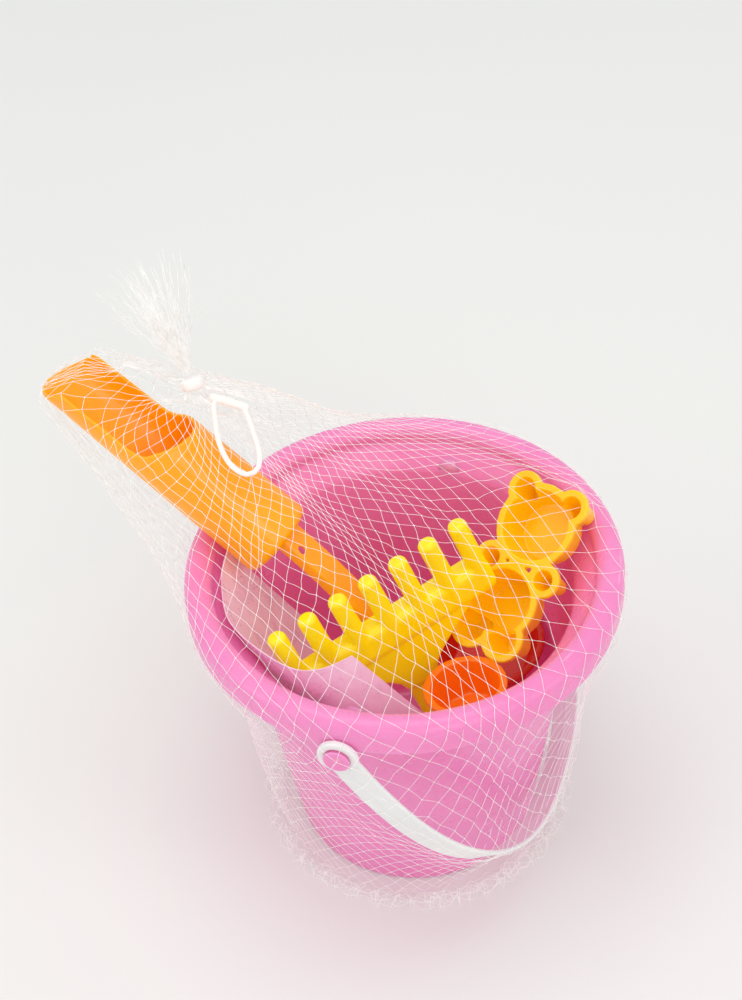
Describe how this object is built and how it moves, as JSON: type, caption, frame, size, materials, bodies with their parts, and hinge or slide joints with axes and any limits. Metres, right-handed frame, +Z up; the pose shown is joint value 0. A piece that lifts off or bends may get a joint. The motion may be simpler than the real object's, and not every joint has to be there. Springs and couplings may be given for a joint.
{
  "type": "sand bucket set",
  "caption": "Flared beach bucket with a rolled rim and swinging strap bail, holding a scoop, a rake, sand moulds and a card, closed in a net bag with a hang loop.",
  "frame": {"origin": "centre of the bucket's flat base, on the surface it stands on", "axes": "+Z up the bucket's axis; -Y is the side that faces the viewer, with one bail pivot; +X is to the viewer's right"},
  "size_m": [0.2582, 0.2078, 0.2912],
  "materials": {
    "bucket_pink": "glossy moulded polypropylene, slightly translucent",
    "bail_white": "satin white moulded plastic",
    "scoop_orange": "glossy orange plastic",
    "toy_yellow": "glossy yellow plastic",
    "mould_red": "glossy red plastic",
    "mould_orange": "glossy orange plastic",
    "card_lilac": "thin glossy card, pale lilac",
    "net_white": "knotted white plastic thread",
    "clip_white": "soft white plastic"
  },
  "bodies": {
    "pail": {"bucket": "bucket_pink", "insert_card": "card_lilac"},
    "handle": {"bail": "bail_white"},
    "net": {"net_bag": "net_white", "net_tuft": "net_white", "neck_seal": "clip_white", "hang_loop": "clip_white"},
    "scoop_toy": {"scoop": "scoop_orange"},
    "rake_toy": {"rake": "toy_yellow"},
    "figure_toy": {"figure_mould": "toy_yellow"},
    "red_toy": {"red_mould": "mould_red"},
    "orange_toy": {"orange_mould": "mould_orange"}
  },
  "joints": [
    {"name": "bail_swing", "type": "hinge", "parent": "pail", "child": "handle", "pos_m": [0, 0, 0.143], "axis": [-0.342, -0.9397, 0], "range_deg": [0, 180]},
    {"name": "net_lift", "type": "slide", "parent": "pail", "child": "net", "axis": [0, 0, 1], "range_m": [0, 0.45], "deforming": ["net_bag", "net_tuft"]},
    {"name": "scoop_out", "type": "slide", "parent": "pail", "child": "scoop_toy", "axis": [-0.6979, 0.3569, 0.6209], "range_m": [0, 0.241]},
    {"name": "rake_out", "type": "slide", "parent": "pail", "child": "rake_toy", "axis": [-0.3199, 0.12, 0.9398], "range_m": [0, 0.201]},
    {"name": "figure_out", "type": "slide", "parent": "pail", "child": "figure_toy", "axis": [0, 0, 1], "range_m": [0, 0.171]},
    {"name": "orange_out", "type": "slide", "parent": "pail", "child": "orange_toy", "axis": [0, 0, 1], "range_m": [0, 0.121]},
    {"name": "red_out", "type": "slide", "parent": "pail", "child": "red_toy", "axis": [0, 0, 1], "range_m": [0, 0.101]}
  ],
  "couplings": [
    {"joint": "scoop_out", "follows": "net_lift", "ratio": 0.5333},
    {"joint": "rake_out", "follows": "net_lift", "ratio": 0.4444},
    {"joint": "figure_out", "follows": "net_lift", "ratio": 0.3777},
    {"joint": "orange_out", "follows": "net_lift", "ratio": 0.2666},
    {"joint": "red_out", "follows": "net_lift", "ratio": 0.2222}
  ]
}
